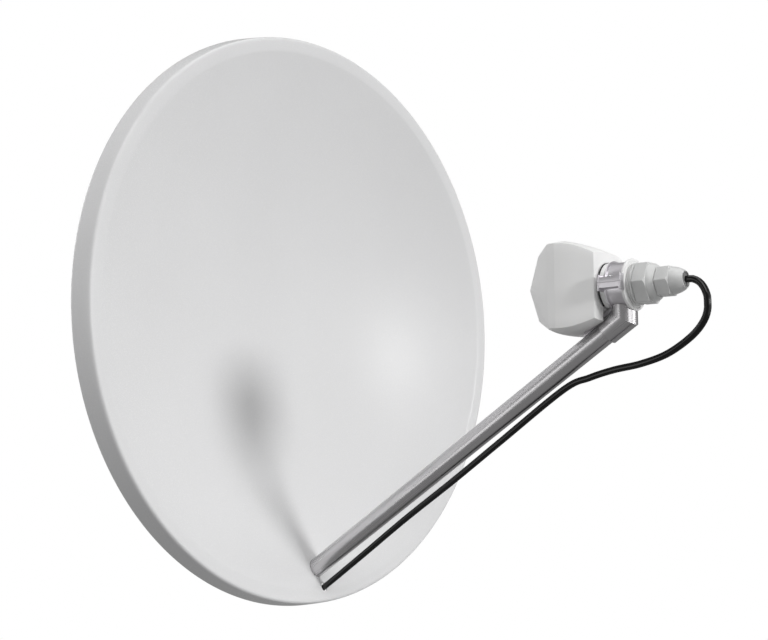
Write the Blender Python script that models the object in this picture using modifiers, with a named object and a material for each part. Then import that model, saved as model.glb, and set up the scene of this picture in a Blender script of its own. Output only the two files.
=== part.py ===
"""Wireless dish antenna: a round pressed reflector, a bent feed arm through its lower edge, a clamped
feed radio with a cable gland and its lead, and the steel bracket behind. Metres, +Z up, front to -Y.
The origin lies on the flat back face of the mast plate."""

import bpy
import bmesh
import math
from mathutils import Vector

# Where the centre of the reflector's rim plane lies from the origin.
RIM_Y = -0.185
RIM_Z = 0.030

# Reflector.
FOCAL = 0.3812
DISH_R = 0.3320
DISH_EDGE_Y = 0.0037
SHEET = 0.0015
SKIRT_BACK_R = 0.3544
SKIRT_BACK_Y = 0.0252
DISH_STEPS = 80

# Feed arm: its centreline runs in the middle plane from the dish to the elbow.
ARM_DIR = Vector((0.0, -0.8385, 0.5449))
ARM_UP = Vector((0.0, 0.5449, 0.8385))
ARM_OFFSET = -0.2520
ARM_START_Y = 0.042
ARM_END_Y = -0.4031
ARM_R = 0.0111
ARM_WALL = 0.0015
ARM_HOLE_R = 0.0119

# Elbow at the top of the arm.
POST_Y = -0.4111
SLEEVE_R = 0.0133
SLEEVE_SIDES = 48
SLEEVE_LENGTH = 0.024
POST_TOP_Z = -0.0150

# Feed clamp.
NECK_R = 0.0200
CLAMP_FRONT_Y = -0.4015
CLAMP_BACK_Y = -0.4203
CLAMP_R = 0.0236
CLAMP_RING_R = 0.0258
EAR_OUT = 0.0340
EAR_FRONT_Y = -0.3997
EAR_BACK_Y = -0.4250
EAR_HALF_H = 0.0055
RIB_T = 0.0020
RIB_HALF_H = 0.0082
RIB_PROUD = 0.0007
GUSSET_FOOT_Z = -0.0251
CLAMP_SCREW_X = 0.0297
CLAMP_SCREW_Y = -0.4118
CLAMP_SCREW_R = 0.0020
SCREW_HEAD_R = 0.0031
GAP = 0.0003

# Feed head.
HEAD_REAR_Y = -0.3942
HEAD_SPLIT_Y = -0.3570
NECK_BACK_Y = -0.4206

# Rear flange and cable gland.
FLANGE_R = 0.0266
FLANGE_BACK_Y = -0.4242
HEX1_AF = 0.0396
HEX1_Y = (-0.4300, -0.4442)
HEX2_AF = 0.0284
HEX2_Y = (-0.4510, -0.4652)
GLAND_END_Y = -0.4780

# Cable.
CABLE_R = 0.0036

# Bracket behind the dish.
HUB_WEB_Y = 0.1020
HUB_R = 0.078
SPINE_HALF = 0.0145
SPINE_SHEET = 0.0025
YOKE_SHEET = 0.004
PLATE_T = 0.005
PLATE_W = 0.110
PLATE_H = 0.130
JAW_Y = 0.050
JAW_T = 0.020
BOLT_X = 0.042
BOLT_Z = 0.042
HUB_BOLT_Z = 0.030

# Bolts: M8 in the bracket and M6 through the arm's root.
M8_R = 0.0040
M8_BORE = 0.0043
M8_HEX = 0.013
M6_R = 0.0030
M6_BORE = 0.0034
M6_HEX = 0.010

for old in list(bpy.data.objects):
    bpy.data.objects.remove(old)

scene = bpy.context.scene
scene.unit_settings.scale_length = 1.0
antenna = bpy.data.collections.new("dish_antenna")
cutters = bpy.data.collections.new("cutters")
scene.collection.children.link(antenna)
scene.collection.children.link(cutters)


# Materials.
def material(name, colour, roughness, metallic):
    made = bpy.data.materials.new(name)
    made.use_nodes = True
    shader = made.node_tree.nodes["Principled BSDF"]
    shader.inputs["Base Color"].default_value = (*colour, 1.0)
    shader.inputs["Roughness"].default_value = roughness
    shader.inputs["Metallic"].default_value = metallic
    return made


PAINT = material("light_grey_paint", (0.62, 0.62, 0.63), 0.38, 0.0)
ARM_STEEL = material("polished_arm_metal", (0.55, 0.54, 0.55), 0.25, 1.0)
CLAMP_METAL = material("clamp_metal", (0.58, 0.57, 0.58), 0.30, 1.0)
HOUSING = material("white_housing_plastic", (0.78, 0.78, 0.78), 0.45, 0.0)
GLAND = material("light_grey_gland_plastic", (0.55, 0.56, 0.56), 0.42, 0.0)
RUBBER = material("seal_rubber", (0.03, 0.03, 0.03), 0.75, 0.0)
JACKET = material("black_cable_jacket", (0.012, 0.012, 0.012), 0.30, 0.0)
ZINC = material("zinc_plated_steel", (0.50, 0.51, 0.52), 0.40, 1.0)
GALVANISED = material("galvanised_bracket_steel", (0.42, 0.43, 0.44), 0.50, 1.0)
BLACK_PLASTIC = material("black_plastic", (0.03, 0.03, 0.03), 0.45, 0.0)


def at(x, y, z):
    """A point given from the rim plane's centre, in the object's frame."""
    return Vector((x, y + RIM_Y, z + RIM_Z))


# Helpers.
def keep(obj, collection, slot):
    collection.objects.link(obj)
    if slot is None:
        obj.hide_render = True
        obj.display_type = "WIRE"
    else:
        obj.data.materials.append(slot)
    return obj


def smooth(obj, angle=35.0):
    for polygon in obj.data.polygons:
        polygon.use_smooth = True
    obj.data.set_sharp_from_angle(angle=math.radians(angle))


def mesh_object(name, shape, slot, collection=None):
    mesh = bpy.data.meshes.new(name)
    shape.to_mesh(mesh)
    shape.free()
    obj = bpy.data.objects.new(name, mesh)
    return keep(obj, collection or (antenna if slot else cutters), slot)


def block(name, size, centre, slot, bevel=0.0, turn=None):
    shape = bmesh.new()
    bmesh.ops.create_cube(shape, size=1.0)
    bmesh.ops.scale(shape, vec=Vector(size), verts=shape.verts)
    if bevel:
        bmesh.ops.bevel(
            shape, geom=list(shape.edges), offset=bevel, segments=2, affect="EDGES", profile=0.5
        )
    obj = mesh_object(name, shape, slot)
    obj.location = centre
    if turn:
        obj.rotation_euler = turn
    return obj


def drum(name, radius, depth, centre, axis, slot, sides=24):
    shape = bmesh.new()
    bmesh.ops.create_cone(
        shape, cap_ends=True, segments=sides, radius1=radius, radius2=radius, depth=depth
    )
    obj = mesh_object(name, shape, slot)
    obj.rotation_euler = Vector(axis).to_track_quat("Z", "Y").to_euler()
    obj.location = centre
    if slot:
        smooth(obj)
    return obj


def turned(name, outline, base, axis, slot, steps=48, closed=False):
    """Turns (radius, height) points about the axis that leaves base. They run down the outer side."""
    shape = bmesh.new()
    made = [shape.verts.new((radius, 0.0, height)) for radius, height in outline]
    for first, second in zip(made, made[1:]):
        shape.edges.new((first, second))
    if closed:
        shape.edges.new((made[-1], made[0]))
    obj = mesh_object(name, shape, slot)
    obj.rotation_euler = Vector(axis).to_track_quat("Z", "Y").to_euler()
    obj.location = base
    screw = obj.modifiers.new("turn", "SCREW")
    screw.steps = steps
    screw.render_steps = steps
    screw.use_merge_vertices = True
    screw.merge_threshold = 0.00005
    screw.use_smooth_shade = True
    return obj


def slab(name, outline, x_low, x_high, slot):
    """A prism of (y, z) points, given from the rim plane's centre, between two X positions."""
    shape = bmesh.new()
    low = [shape.verts.new(at(x_low, y, z)) for y, z in outline]
    face = shape.faces.new(low)
    grown = bmesh.ops.extrude_face_region(shape, geom=[face])
    moved = [piece for piece in grown["geom"] if isinstance(piece, bmesh.types.BMVert)]
    bmesh.ops.translate(shape, vec=(x_high - x_low, 0.0, 0.0), verts=moved)
    bmesh.ops.recalc_face_normals(shape, faces=shape.faces)
    return mesh_object(name, shape, slot)


def cut(obj, cutter, operation="DIFFERENCE"):
    step = obj.modifiers.new(cutter.name, "BOOLEAN")
    step.operation = operation
    step.solver = "EXACT"
    step.object = cutter
    return obj


def settle(obj, angle=35.0):
    """Makes the modifiers' result the object's own mesh."""
    bpy.context.view_layer.update()
    graph = bpy.context.evaluated_depsgraph_get()
    mesh = bpy.data.meshes.new_from_object(obj.evaluated_get(graph))
    obj.modifiers.clear()
    obj.data = mesh
    smooth(obj, angle)
    return obj


def loft(name, rings, slot, angle=35.0):
    """A closed solid through rings of like point counts, each a list of points."""
    shape = bmesh.new()
    made = [[shape.verts.new(point) for point in ring] for ring in rings]
    count = len(rings[0])
    for first, second in zip(made, made[1:]):
        for index in range(count):
            after = (index + 1) % count
            shape.faces.new((first[index], first[after], second[after], second[index]))
    shape.faces.new(made[0])
    shape.faces.new(made[-1])
    bmesh.ops.recalc_face_normals(shape, faces=shape.faces)
    obj = mesh_object(name, shape, slot)
    smooth(obj, angle)
    return obj


# Reflector: one pressed sheet with a rolled lip and a turned back skirt.
def dish_y(radius):
    """How far behind the rim plane the inner face lies."""
    return DISH_EDGE_Y + (DISH_R**2 - radius**2) / (4.0 * FOCAL)


def reflector_front():
    radii = [0.0, 0.03, 0.07, 0.11, 0.15, 0.19, 0.225, 0.255, 0.285, 0.311, DISH_R]
    face = [(radius, dish_y(radius)) for radius in radii]
    lip = [(0.3346, 0.00275), (0.3400, 0.0016), (0.3462, 0.0003), (0.3480, 0.0005)]
    edge = [(0.3494, 0.0017), (0.35045, 0.0036), (0.3516, 0.0095)]
    return face + lip + edge + [(SKIRT_BACK_R, SKIRT_BACK_Y)]


def offset_line(points, distance):
    """The line moved to its left by a distance, corner by corner."""
    moved = []
    for index, (x, y) in enumerate(points):
        before = points[max(index - 1, 0)]
        after = points[min(index + 1, len(points) - 1)]
        dx, dy = after[0] - before[0], after[1] - before[1]
        length = math.hypot(dx, dy)
        moved.append((x - dy / length * distance, y + dx / length * distance))
    return moved


def arm_point(along, across=0.0, x=0.0):
    """A point along the arm from the middle of its centreline, in the object's frame."""
    point = ARM_UP * (ARM_OFFSET + across) + ARM_DIR * along
    return at(x, point.y, point.z)


def along_at(y):
    """How far along the arm its centreline reaches a y position."""
    return (y - (ARM_UP * ARM_OFFSET).y) / ARM_DIR.y


def arm_round(name, radius, low, high, slot):
    """A cylinder on the arm's centreline between two places along it."""
    middle = arm_point((low + high) / 2.0)
    return drum(name, radius, high - low, middle, ARM_DIR, slot, 40)


CABLE_HOLE = Vector((0.0034, 0.0034, -0.3318))
CABLE_HOLE_R = 0.0048
SLIT_X = (-0.0018, -0.0006)


def reflector():
    front = reflector_front()
    back = offset_line(front, SHEET)
    back[0] = (0.0, front[0][1] + SHEET)
    outline = [(radius, -y) for radius, y in front + list(reversed(back))]
    shape = turned("reflector", outline, at(0, 0, 0), (0, -1, 0), PAINT, DISH_STEPS)
    hole = arm_round("arm_hole", ARM_HOLE_R, along_at(0.09), along_at(-0.05), None)
    lead = drum("lead_hole", CABLE_HOLE_R, 0.05, at(*CABLE_HOLE), ARM_DIR, None, 20)
    low, high = CABLE_HOLE.z + CABLE_HOLE_R, -0.310
    slit = slab("slit_cut", [(-0.02, low), (0.05, low), (0.05, high), (-0.02, high)], *SLIT_X, None)
    for tool in (hole, lead, slit):
        cut(shape, tool)
    return settle(shape, 50.0)


# Feed arm: a round tube, closed at its upper end.
def arm_tube():
    low, high = along_at(ARM_START_Y), along_at(ARM_END_Y)
    tube = arm_round("arm_tube", ARM_R, low, high, ARM_STEEL)
    cut(tube, arm_round("arm_bore", ARM_R - ARM_WALL, low - 0.01, high - ARM_WALL, None))
    bolt_hole = drum("arm_bolt_hole", M6_BORE, 0.06, ROOT_BOLT, (1, 0, 0), None, 16)
    cut(tube, bolt_hole)
    return settle(tube, 50.0)


ROOT_BOLT = arm_point(along_at(0.032))


def elbow():
    """Sleeve over the arm's end and the upright post, mitred into one piece."""
    corner_along = along_at(POST_Y)
    corner = arm_point(corner_along)
    low = corner_along - SLEEVE_LENGTH
    half = math.atan2(ARM_DIR.z, -ARM_DIR.y)
    turn = (math.pi / 2.0 - half) / 2.0
    start, mitre, top = [], [], []
    for step in range(SLEEVE_SIDES):
        angle = 2.0 * math.pi * step / SLEEVE_SIDES
        x, across = SLEEVE_R * math.cos(angle), SLEEVE_R * math.sin(angle)
        start.append(arm_point(low, across, x))
        mitre.append(arm_point(corner_along - across * math.tan(turn), across, x))
        top.append(Vector((x, corner.y + across, POST_TOP_Z + RIM_Z)))
    made = loft("elbow", [start, mitre, top], ARM_STEEL, 30.0)
    end = along_at(ARM_END_Y) + GAP
    cut(made, arm_round("elbow_pocket", ARM_R + GAP, low - 0.01, end, None))
    seats = (
        ("post_seat", CLAMP_R, -0.44, -0.38),
        ("ring_seat", CLAMP_RING_R, CLAMP_FRONT_Y - 0.0022 - GAP, -0.38),
        ("flange_seat", FLANGE_R, -0.44, NECK_BACK_Y),
    )
    for label, radius, back, front in seats:
        place = at(0, (front + back) / 2.0, 0)
        cut(made, drum(label, radius + GAP, front - back, place, (0, 1, 0), None, 48))
    return settle(made, 30.0)


# Clamp halves about the neck.
def half_ring(name, upper):
    front, back = CLAMP_FRONT_Y, CLAMP_BACK_Y
    length = front - back
    outline = [
        (CLAMP_RING_R, 0.0),
        (CLAMP_RING_R, -0.0022),
        (CLAMP_R, -0.0022),
        (CLAMP_R, -length),
        (NECK_R + GAP, -length),
        (NECK_R + GAP, 0.0),
    ]
    ring = turned(name, outline, at(0, front, 0), (0, 1, 0), CLAMP_METAL, 48, True)
    sign = 1.0 if upper else -1.0
    lugs = (
        ("ear", EAR_OUT, EAR_FRONT_Y, EAR_BACK_Y, EAR_HALF_H),
        ("rib_front", EAR_OUT + RIB_PROUD, EAR_FRONT_Y, EAR_FRONT_Y - RIB_T, RIB_HALF_H),
        ("rib_back", EAR_OUT + RIB_PROUD, EAR_BACK_Y + RIB_T, EAR_BACK_Y, RIB_HALF_H),
    )
    for side, tag in ((-1, "left"), (1, "right")):
        for label, outer, y0, y1, height in lugs:
            cut(ring, lug(f"{name}_{label}_{tag}", side, outer, y0, y1, sign * height), "UNION")
    rest = block(
        f"{name}_rest", (0.12, 0.08, 0.06),
        at(0, POST_Y, -sign * (0.03 - GAP)), None,
    )
    cut(ring, rest)
    bore = drum(f"{name}_bore", NECK_R + GAP, 0.06, at(0, POST_Y, 0), (0, 1, 0), None, 48)
    cut(ring, bore)
    place = at(0, NECK_BACK_Y - 0.01, 0)
    cut(ring, drum(f"{name}_flange_seat", FLANGE_R + GAP, 0.02, place, (0, 1, 0), None, 48))
    for side, tag in ((-1, "left"), (1, "right")):
        place = at(side * CLAMP_SCREW_X, CLAMP_SCREW_Y, 0.020 - EAR_HALF_H + 0.0012)
        hole = drum(f"{name}_hole_{tag}", CLAMP_SCREW_R + 0.0004, 0.040, place, (0, 0, 1), None, 16)
        cut(ring, hole)
    if not upper:
        cut(ring, gusset_body(), "UNION")
    return settle(ring, 35.0)


def lug(name, side, outer, front, back, height):
    """A flat bar from the ring outwards, between the split at z = 0 and the given height."""
    inner = CLAMP_R - 0.0030
    size = (outer - inner, front - back, abs(height))
    middle = at(side * (outer + inner) / 2.0, (front + back) / 2.0, height / 2.0)
    return block(name, size, middle, None)


def gusset_body():
    """The web that runs from the lower half down to the top of the sleeve and the arm."""
    outline = [
        (-0.4020, -0.0206), (-0.4020, -0.0300), (-0.3860, -0.0420), (-0.3670, -0.0500),
        (-0.3670, -0.0457), (-0.3780, -0.0374), (-0.3862, -0.0318), (-0.3925, -0.0258),
        (-0.3965, -0.0228),
    ]
    web = slab("gusset_web", outline, -0.0055, 0.0055, None)
    joint = along_at(POST_Y)
    cut(web, arm_round("sleeve_clearance", SLEEVE_R + GAP, joint - SLEEVE_LENGTH - GAP, joint, None))
    cut(web, arm_round("arm_clearance", ARM_R + GAP, joint - 0.08, joint, None))
    place = at(0, POST_Y, GUSSET_FOOT_Z - 0.04)
    post = drum("post_clearance", SLEEVE_R + GAP, 0.08, place, (0, 0, 1), None, 40)
    cut(web, post)
    return web


def clamp_screws():
    """Each goes down through the upper ear into the lower one, with a low button head on top."""
    top, end = EAR_HALF_H + GAP, -EAR_HALF_H + 0.0018
    outline = [
        (0.0, top + 0.0017), (0.0015, top + 0.0015), (0.0027, top + 0.0009), (SCREW_HEAD_R, top),
        (CLAMP_SCREW_R, top), (CLAMP_SCREW_R, end), (0.0, end),
    ]
    for side, tag in ((-1, "left"), (1, "right")):
        place = at(side * CLAMP_SCREW_X, CLAMP_SCREW_Y, 0)
        turned(f"clamp_screw_{tag}", outline, place, (0, 0, 1), ZINC, 20)


# Feed head: a faceted cover and a rear body with the neck.
def head_ring(y, half_width, top, foot, lean=0.0):
    """A ring of 20 points: upright sides, an arched top and foot, each given as the height of its
    corner and of its crown. Points near mid-height lie forward by up to the lean."""
    ring = []
    for sign, (corner, crown) in ((1.0, top), (-1.0, foot)):
        rise = crown - corner
        quarter = [
            (half_width, corner * 0.5), (half_width, corner),
            (half_width * 0.87, corner + rise * 0.42), (half_width * 0.74, corner + rise * 0.76),
            (half_width * 0.25, crown),
        ]
        half = quarter + [(-x, z) for x, z in reversed(quarter)]
        ring += [(sign * x, sign * z, corner) for x, z in half]
    middle = [(half_width, 0.0, top[0])]
    ring = middle + ring[:10] + [(-half_width, 0.0, top[0])] + ring[10:]
    return [at(x, y + lean * max(0.0, 1.0 - abs(z) / corner), z) for x, z, corner in ring]


HEAD_WIDEST = (0.0450, (0.0437, 0.0503), (0.0435, 0.0482))


def head_cover():
    """The part that looks at the dish: a nose with a level ridge at mid-height, then the shoulders."""
    rings = [
        head_ring(-0.3265, 0.0270, (0.0290, 0.0340), (0.0280, 0.0310), lean=0.0085),
        head_ring(-0.3300, 0.0310, (0.0348, 0.0400), (0.0335, 0.0375), lean=0.0106),
        head_ring(-0.3474, 0.0428, (0.0440, 0.0500), (0.0432, 0.0470)),
        head_ring(HEAD_SPLIT_Y, *HEAD_WIDEST),
    ]
    return loft("head_cover", rings, HOUSING, 8.0)


def head_body():
    rings = [
        head_ring(HEAD_SPLIT_Y - GAP, *HEAD_WIDEST),
        head_ring(-0.3690, 0.0409, (0.0429, 0.0468), (0.0425, 0.0462)),
        head_ring(-0.3815, 0.0356, (0.0390, 0.0420), (0.0390, 0.0420)),
        head_ring(HEAD_REAR_Y, 0.0302, (0.0325, 0.0362), (0.0340, 0.0362)),
    ]
    body = loft("head_body", rings, HOUSING, 8.0)
    neck = drum(
        "neck_core", NECK_R, HEAD_REAR_Y + 0.01 - NECK_BACK_Y,
        at(0, (HEAD_REAR_Y + 0.01 + NECK_BACK_Y) / 2.0, 0), (0, 1, 0), None, 48,
    )
    cut(body, neck, "UNION")
    groove = [(-0.4000, -0.0215), (-0.3955, -0.0225), (-0.3640, -0.0475), (-0.3550, -0.0600),
              (-0.4000, -0.0600)]
    cut(body, slab("arm_groove", groove, -0.0130, 0.0130, None))
    return settle(body, 8.0)


# Rear flange and the two-stage cable gland, turned about the feed axis.
def feed_turned(name, outline, slot, steps=40, closed=False):
    """Points are (radius, y) with y from the rim plane; heights run to the rear."""
    points = [(radius, -y) for radius, y in outline]
    return turned(name, points, at(0, 0, 0), (0, -1, 0), slot, steps, closed)


def gland_parts():
    y = NECK_BACK_Y - GAP
    feed_turned(
        "rear_flange",
        [(0.0, FLANGE_BACK_Y), (0.0259, FLANGE_BACK_Y), (FLANGE_R, FLANGE_BACK_Y + 0.0007),
         (FLANGE_R, y - 0.0007), (0.0259, y), (0.0, y)],
        HOUSING, 48,
    )
    front = FLANGE_BACK_Y - GAP
    feed_turned(
        "gland_collar",
        [(0.0, -0.4297), (0.0206, -0.4297), (0.0214, -0.4289), (0.0214, -0.4278),
         (0.0204, -0.4273), (0.0204, -0.4263), (0.0216, -0.4258), (0.0216, front), (0.0, front)],
        GLAND, 40,
    )
    hexagon("gland_body", HEX1_AF, HEX1_Y, [
        (0.0, -0.4506), (0.0150, -0.4506), (0.0172, -0.4490), (0.0190, -0.4464),
        (0.0196, -0.4440), (0.0196, HEX1_Y[0]), (0.0, HEX1_Y[0]),
    ])
    nut = hexagon("gland_nut", HEX2_AF, HEX2_Y, [
        (0.0, GLAND_END_Y), (0.0088, GLAND_END_Y), (0.0104, -0.4758), (0.0122, -0.4722),
        (0.0134, -0.4682), (0.0140, -0.4645), (0.0140, HEX2_Y[0]), (0.0, HEX2_Y[0]),
    ])
    socket = drum("gland_socket", 0.0074, 0.012, at(0, GLAND_END_Y, 0), (0, 1, 0), None, 32)
    cut(nut, socket)
    settle(nut, 30.0)
    feed_turned(
        "gland_seal",
        [(0.0, GLAND_END_Y + 0.0010), (0.0062, GLAND_END_Y + 0.0010),
         (0.0071, GLAND_END_Y + 0.0018), (0.0071, GLAND_END_Y + 0.0057),
         (0.0, GLAND_END_Y + 0.0057)],
        RUBBER, 32,
    )


def hexagon(name, across, reach, dome):
    """A six-sided drive with chamfered corners, joined to the turned dome behind it."""
    first, last = reach
    length = first - last
    circum = across / math.sqrt(3.0)
    drive = drum(
        name, circum, length, at(0, (first + last) / 2.0, 0), (0, 1, 0), GLAND, 6
    )
    drive.rotation_euler = (math.radians(90.0), math.radians(30.0), 0.0)
    chamfer = feed_turned(
        f"{name}_chamfer",
        [(0.0, last), (circum - 0.0022, last), (circum + 0.0004, last + 0.0020),
         (circum + 0.0004, first - 0.0010), (circum - 0.0010, first), (0.0, first)],
        None, 48,
    )
    cut(drive, chamfer, "INTERSECT")
    cut(drive, feed_turned(f"{name}_dome", dome, None, 40), "UNION")
    return settle(drive, 30.0)


# Cable: from the gland in a loop, then below the arm and through the dish to its coupler.
CABLE_ROUTE = [
    (0.0, -0.4777, 0.0), (0.0, -0.4850, -0.0002), (0.0, -0.4928, -0.0052),
    (0.0, -0.4979, -0.0148), (0.0, -0.4994, -0.0265), (0.0, -0.4951, -0.0410),
    (0.0, -0.4815, -0.0561), (0.0, -0.4561, -0.0715), (0.0, -0.4273, -0.0800),
    (0.0, -0.3976, -0.0847), (0.0, -0.3700, -0.0915), (0.0, -0.3387, -0.1029),
    (0.0, -0.2588, -0.1566), (0.0, -0.1970, -0.1985), (0.0005, -0.1256, -0.2449),
    (0.0018, -0.0600, -0.2895), (0.0028, 0.0010, -0.3305), (0.0028, 0.0180, -0.3405),
    (0.0020, 0.0400, -0.3465), (0.0010, 0.0600, -0.3400), (0.0, 0.0710, -0.3260),
    (0.0, 0.0760, -0.3100),
]


def smooth_route(points, spacing):
    """Points at even spacing along a smooth curve through the given ones."""
    given = [Vector(point) for point in points]
    dense = []
    for index in range(len(given) - 1):
        before = given[max(index - 1, 0)]
        start, end = given[index], given[index + 1]
        after = given[min(index + 2, len(given) - 1)]
        for step in range(24):
            t = step / 24.0
            dense.append(
                0.5 * (
                    2.0 * start + (end - before) * t
                    + (2.0 * before - 5.0 * start + 4.0 * end - after) * t**2
                    + (3.0 * start - before - 3.0 * end + after) * t**3
                )
            )
    dense.append(given[-1])
    total = sum((b - a).length for a, b in zip(dense, dense[1:]))
    count = max(2, round(total / spacing))
    step = total / count
    even, walked, goal = [dense[0]], 0.0, step
    for a, b in zip(dense, dense[1:]):
        part = (b - a).length
        while walked + part >= goal and len(even) < count:
            even.append(a.lerp(b, (goal - walked) / part))
            goal += step
        walked += part
    even.append(dense[-1])
    return even


def tube(name, points, radius, slot, resolution=2):
    line = bpy.data.curves.new(name, "CURVE")
    line.dimensions = "3D"
    line.bevel_depth = radius
    line.bevel_resolution = resolution
    line.use_fill_caps = True
    spline = line.splines.new("POLY")
    spline.points.add(len(points) - 1)
    for knot, point in zip(spline.points, points):
        knot.co = (*point, 1.0)
    obj = bpy.data.objects.new(name, line)
    return keep(obj, antenna, slot)


def cable():
    points = [at(*point) for point in smooth_route(CABLE_ROUTE, 0.0105)]
    return tube("cable", points, CABLE_R, JACKET, 4)


def coupler():
    """The weatherproof barrel behind the dish that the lead plugs into, on its strap."""
    start = Vector(CABLE_ROUTE[-1])
    direction = (start - Vector(CABLE_ROUTE[-2])).normalized()
    base = at(*(start + direction * GAP))
    barrel = turned(
        "cable_coupler",
        [(0.0, 0.046), (0.0075, 0.046), (0.0085, 0.045), (0.0085, 0.039), (0.0100, 0.038),
         (0.0100, 0.010), (0.0085, 0.009), (0.0085, 0.004), (0.0065, 0.0), (0.0, 0.0)],
        base, direction, BLACK_PLASTIC, 24,
    )
    width = 2.0 * (SPINE_HALF - SPINE_SHEET - GAP)
    shoe = block(
        "coupler_shoe", (width, 0.016, 0.018), base + direction * 0.024, None,
        turn=(math.atan2(-direction.y, direction.z), 0.0, 0.0),
    )
    cut(barrel, shoe, "UNION")
    return settle(barrel, 30.0)


# Hub pan, spine and yoke behind the dish.
def back_y(radius):
    return dish_y(radius) + SHEET


def hub_bolt_places():
    return ((HUB_BOLT_Z, "upper"), (-HUB_BOLT_Z, "lower"))


def hub_pan():
    """A shallow dish of sheet whose rim lies on the reflector's back."""
    y_rim = back_y(HUB_R)
    web = HUB_WEB_Y
    t = 0.002
    gap = GAP + 0.0004
    inner = HUB_R - 0.014
    outline = [
        (0.0, web), (0.052, web), (0.056, web - 0.001), (inner, back_y(inner) + gap + t + 0.001),
        (inner + 0.002, back_y(inner + 0.002) + gap + t), (HUB_R, y_rim + gap + t),
        (HUB_R, y_rim + gap), (inner + 0.001, back_y(inner + 0.001) + gap),
        (inner - 0.0025, back_y(inner - 0.0025) + gap + 0.001), (0.054, web - t - 0.001),
        (0.051, web - t), (0.0, web - t),
    ]
    pan = feed_turned("hub_pan", outline, GALVANISED, 48)
    for z, tag in hub_bolt_places():
        cut(pan, drum(f"pan_hole_{tag}", M8_BORE, 0.03, at(0, web, z), (0, 1, 0), None, 20))
    return settle(pan, 30.0)


SPINE_SIDE = [
    (0.1025, 0.055), (0.1350, 0.055), (0.1350, -0.075), (0.0900, -0.300), (0.0620, -0.352),
    (0.0240, -0.322), (0.0270, -0.295), (0.0500, -0.262), (0.0900, -0.120), (0.1025, -0.060),
]
SPINE_HOLLOW = [
    (0.1050, 0.075), (0.1550, 0.075), (0.1550, -0.095), (0.1100, -0.330), (0.0600, -0.420),
    (-0.0200, -0.345), (0.0000, -0.240), (0.0526, -0.262), (0.0925, -0.1195), (0.1050, -0.0595),
]


def spine():
    """A channel that follows the dish's back: web to the front, two cheeks, arm between them."""
    made = slab("spine", SPINE_SIDE, -SPINE_HALF, SPINE_HALF, GALVANISED)
    inside = SPINE_HALF - SPINE_SHEET
    cut(made, slab("spine_hollow", SPINE_HOLLOW, -inside, inside, None))
    for z, tag in hub_bolt_places():
        place = at(0, HUB_WEB_Y, z)
        cut(made, drum(f"spine_hole_{tag}", M8_BORE, 0.03, place, (0, 1, 0), None, 20))
    bores = ((PIVOT, "pivot", M8_BORE), (LOCK, "lock", M8_BORE), (ROOT_BOLT, "root", M6_BORE))
    for point, tag, radius in bores:
        cut(made, drum(f"spine_bore_{tag}", radius, 0.08, point, (1, 0, 0), None, 20))
    return settle(made, 30.0)


PIVOT = at(0, 0.1230, 0.036)
LOCK = at(0, 0.1230, -0.042)


def mast_yoke():
    """The mast plate with its two welded cheeks, each with an arc slot for the lock bolt."""
    plate = block(
        "mast_yoke", (PLATE_W, PLATE_T, PLATE_H), Vector((0, -PLATE_T / 2.0, 0)), GALVANISED, 0.001
    )
    for side, tag in ((-1, "left"), (1, "right")):
        low = side * (SPINE_HALF + GAP)
        high = side * (SPINE_HALF + GAP + YOKE_SHEET)
        seam = -RIM_Y - PLATE_T + 0.001
        outline = [
            (0.108, 0.052), (0.128, 0.056), (seam, 0.026),
            (seam, -0.080), (0.125, -0.062), (0.108, -0.056),
        ]
        cheek = slab(f"yoke_cheek_{tag}", outline, min(low, high), max(low, high), None)
        cut(plate, cheek, "UNION")
    cut(plate, drum("yoke_pivot_bore", M8_BORE, 0.1, PIVOT, (1, 0, 0), None, 20))
    arc = arc_slot()
    cut(plate, arc)
    for x, z, tag in bolt_places():
        place = Vector((x, 0, z))
        cut(plate, drum(f"plate_hole_{tag}", M8_BORE, 0.03, place, (0, 1, 0), None, 20))
    return settle(plate, 30.0)


def arc_slot():
    """The slot about the pivot in which the lock bolt slides."""
    reach = (LOCK - PIVOT).length
    base = math.atan2(LOCK.z - PIVOT.z, LOCK.y - PIVOT.y)
    outer, inner = [], []
    for step in range(9):
        angle = base + math.radians(-4.0 + 26.0 * step / 8.0)
        for radius, line in ((reach + M8_BORE, outer), (reach - M8_BORE, inner)):
            y = PIVOT.y - RIM_Y + radius * math.cos(angle)
            z = PIVOT.z - RIM_Z + radius * math.sin(angle)
            line.append((y, z))
    return slab("lock_slot", outer + list(reversed(inner)), -0.05, 0.05, None)


def bolt_places():
    for x, side in ((-BOLT_X, "left"), (BOLT_X, "right")):
        for z, height in ((-BOLT_Z, "low"), (BOLT_Z, "high")):
            yield x, z, f"{side}_{height}"


def through_bolt(name, centre, axis, reach_head, reach_nut, radius, across):
    """A bolt along the axis through centre: a hex head at the far side, a nut at the near side."""
    axis = Vector(axis)
    circum = across / math.sqrt(3.0)
    head_h, nut_h = radius * 1.3, radius * 1.6
    tip = reach_nut + nut_h + radius * 0.8
    total = reach_head + head_h * 0.5 + tip
    middle = centre + axis * (tip - reach_head - head_h * 0.5) / 2.0
    shaft = drum(name, radius, total, middle, axis, ZINC, 16)
    head = drum(
        f"{name}_head", circum, head_h, centre - axis * (reach_head + head_h / 2.0), axis, None, 6
    )
    nut = drum(
        f"{name}_nut", circum, nut_h, centre + axis * (reach_nut + nut_h / 2.0), axis, None, 6
    )
    cut(shaft, head, "UNION")
    cut(shaft, nut, "UNION")
    return settle(shaft, 30.0)


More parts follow.
